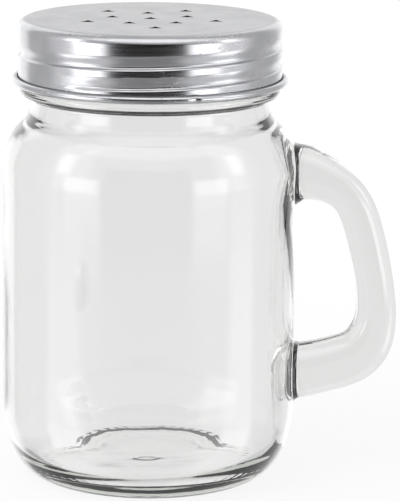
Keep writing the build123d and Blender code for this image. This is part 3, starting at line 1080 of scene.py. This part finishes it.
def light_tent():
    """Tent of soft light round the object, seen only in reflections and through the glass."""
    across = np.radians(np.arange(0, 360, 2))
    rises = np.radians(np.arange(-90, 91))
    points = [
        (
            TENT_RADIUS * math.cos(e) * math.sin(a),
            -TENT_RADIUS * math.cos(e) * math.cos(a),
            TENT_RADIUS * math.sin(e),
        )
        for e in rises
        for a in across
    ]
    wide = len(across)
    faces = [
        (r * wide + c, r * wide + (c + 1) % wide, (r + 1) * wide + (c + 1) % wide, (r + 1) * wide + c)
        for r in range(len(rises) - 1)
        for c in range(wide)
    ]
    tent = mesh_object("light_tent", points, faces)
    place = np.empty(len(tent.data.vertices) * 3)
    tent.data.vertices.foreach_get("co", place)
    x, y, z = place.reshape(-1, 3).T
    turn = np.degrees(np.arctan2(x, -y))
    rise = np.degrees(np.arctan2(z, np.hypot(x, y)))
    for name, start, patches in (
        ("reflected", 1.0, REFLECTED_LIGHT),
        ("through", THROUGH_LEVEL, THROUGH_LIGHT),
    ):
        values = painted(turn, rise, start, patches)
        tent.data.attributes.new(name, "FLOAT", "POINT").data.foreach_set("value", values)
    material, tree = material_tree("white_tent_cloth")
    # a ray refracted by glass counts as glossy too, so transmission decides
    refracted = add(tree, "ShaderNodeLightPath").node.outputs["Is Transmission Ray"]
    reflected = add(tree, "ShaderNodeAttribute", attribute_name="reflected", out=2)
    through = add(tree, "ShaderNodeAttribute", attribute_name="through", out=2)
    level = add(tree, MIX, {0: refracted, 2: reflected, 3: through}, data_type="FLOAT")
    add(tree, SURFACE_OUT, {"Surface": add(tree, "ShaderNodeEmission", linear("#FFFFFF"), level)})
    tent.data.materials.append(material)
    tent.visible_camera = False
    tent.visible_diffuse = False
    tent.visible_shadow = False


def soft_lamp(name, place, size, power):
    data = bpy.data.lights.new(name, "AREA")
    data.shape = "DISK"
    data.size = size
    data.energy = power
    lamp = bpy.data.objects.new(name, data)
    bpy.context.scene.collection.objects.link(lamp)
    lamp.location = place
    lamp.rotation_euler = (-Vector(place)).to_track_quat("-Z", "Y").to_euler()
    lamp.visible_camera = False
    lamp.visible_glossy = False
    lamp.visible_transmission = False


def studio():
    # world: plain white behind everything, a softer level where it lights matt surfaces
    world = bpy.data.worlds.new("white_studio")
    bpy.context.scene.world = world
    world.use_nodes = True
    tree = world.node_tree
    tree.nodes.clear()
    path = add(tree, "ShaderNodeLightPath").node.outputs
    seen = add(tree, MATH, path["Is Camera Ray"], path["Is Glossy Ray"], operation="MAXIMUM")
    seen = add(tree, MATH, seen, path["Is Transmission Ray"], operation="MAXIMUM")
    level = add(tree, MAP_RANGE, {"Value": seen, "To Min": 0.75, "To Max": 1.0})
    shader = add(tree, "ShaderNodeBackground", linear("#FFFFFF"), level)
    add(tree, "ShaderNodeOutputWorld", {"Surface": shader})

    # floor: a round white table that fades into the white behind it and keeps the shadow; metal and
    # glass see the white of the tent in its place
    angle = np.linspace(0, 2 * math.pi, TABLE_SIDES + 1)[:-1]
    points = [(TABLE_RADIUS * math.cos(a), TABLE_RADIUS * math.sin(a), -TABLE_DROP) for a in angle]
    floor = mesh_object("table_top", points, [tuple(range(TABLE_SIDES))])
    material, tree = material_tree("white_table")
    place = add(tree, COORDINATES, out=3)
    away = add(tree, VECTOR_MATH, place, operation="LENGTH", out=1)
    fade = add(
        tree,
        MAP_RANGE,
        {"Value": away, "From Min": 0.06, "From Max": 0.2, "To Min": 0.88, "To Max": 1.0},
        interpolation_type="SMOOTHSTEP",
    )
    seen = add(tree, "ShaderNodeLightPath").node.outputs["Is Camera Ray"]
    share = add(tree, MATH, seen, fade, operation="MULTIPLY")
    matt = add(tree, "ShaderNodeBsdfDiffuse", linear("#F4F4F4"))
    white = add(tree, "ShaderNodeEmission", linear("#FFFFFF"), 1.0)
    add(tree, SURFACE_OUT, {"Surface": add(tree, "ShaderNodeMixShader", share, matt, white)})
    floor.data.materials.append(material)
    floor.visible_glossy = False
    floor.visible_transmission = False

    light_tent()
    soft_lamp("key", KEY_PLACE, KEY_SIZE, KEY_POWER)


place_camera()
studio()

glass = pressed_glass()
steel = rolled_steel()
# dark steel that paints the shade inside the lid
painted_shade_material = painted_shade_steel()
compound = flowed_compound()

jar = mesh_object("moulded_glass_jar", *jar_surface())
grown(
    jar,
    helical_ridge("glass_thread", glass),
    {
        "Pitch": PITCH * MM,
        "Low": THREAD_LOW * MM,
        "Start": THREAD_START,
        "Turns": THREAD_TURNS,
        "Run Out": 0.06,
        "Out": THREAD_HEIGHT * MM,
        "Above": 1.05 * MM,
        "Below": 1.05 * MM,
        "Crest": 0.3 * MM,
        "From Radius": 22.3 * MM,
        "To Height": 84.2 * MM,
    },
)
grown(
    jar,
    bearing_marks("bearing_marks", glass),
    {"Count": 60, "Depth": 0.1 * MM, "Middle": 19.05 * MM, "Half Width": 1.4 * MM, "Unevenness": -0.5},
)

lid = mesh_object("punched_steel_lid", *lid_sheet())
grown(
    lid,
    helical_ridge("rolled_thread", steel),
    {
        "Pitch": PITCH * MM,
        "Low": GROOVE_LOW * MM,
        "Start": GROOVE_START,
        "Turns": GROOVE_TURNS,
        "Run Out": 0.08,
        "Out": -GROOVE_DEPTH * MM,
        "Above": 2.2 * MM,
        "Below": 0.5 * MM,
        "Crest": 0.0,
        "From Radius": 23.0 * MM,
        "To Height": 85.0 * MM,
    },
)
grown(
    lid,
    punched_top("punched_top", steel),
    {
        "Top": LID_TOP * MM,
        "Sheet": SHEET * MM,
        "Disc Radius": PUNCHED_RADIUS * MM,
        "Hole Radius": HOLE_RADIUS * MM,
        "Waist": HOLE_WAIST * MM,
        "Patch Radius": 2.1 * MM,
        "Rolled Edge": 0.03 * MM,
        "Burr": 0.04 * MM,
        "Inner Ring": INNER_RING * MM,
        "Inner Turn": INNER_TURN,
        "Outer Ring": OUTER_RING * MM,
        "Outer Turn": OUTER_TURN,
    },
)

# paints shade on the lid's underside, hole walls and skirt inside
paint_shade_inside(lid, steel, painted_shade_material)

seal = mesh_object(
    "sealing_ring_bead",
    *ring_solid(SEAL_OUTER, SEAL_INNER, SEAL_LOW, SEAL_HIGH, SEAL_ROUND, SEAL_COLUMNS),
)
seal.data.materials.append(compound)

for piece, body, node, slot in (
    (jar, "jar", "glass_jar", "clear_glass"),
    (lid, "lid", "shaker_lid", "lid_steel"),
    (seal, "seal", "sealing_ring", "seal_compound"),
):
    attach(piece, body)
    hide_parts(node)

scene = bpy.context.scene
scene.view_settings.view_transform = "Standard"

for piece in (jar, lid, seal):
    shape = piece.data
    shape.calc_loop_triangles()
    print(piece.name, len(shape.loop_triangles), "triangles")
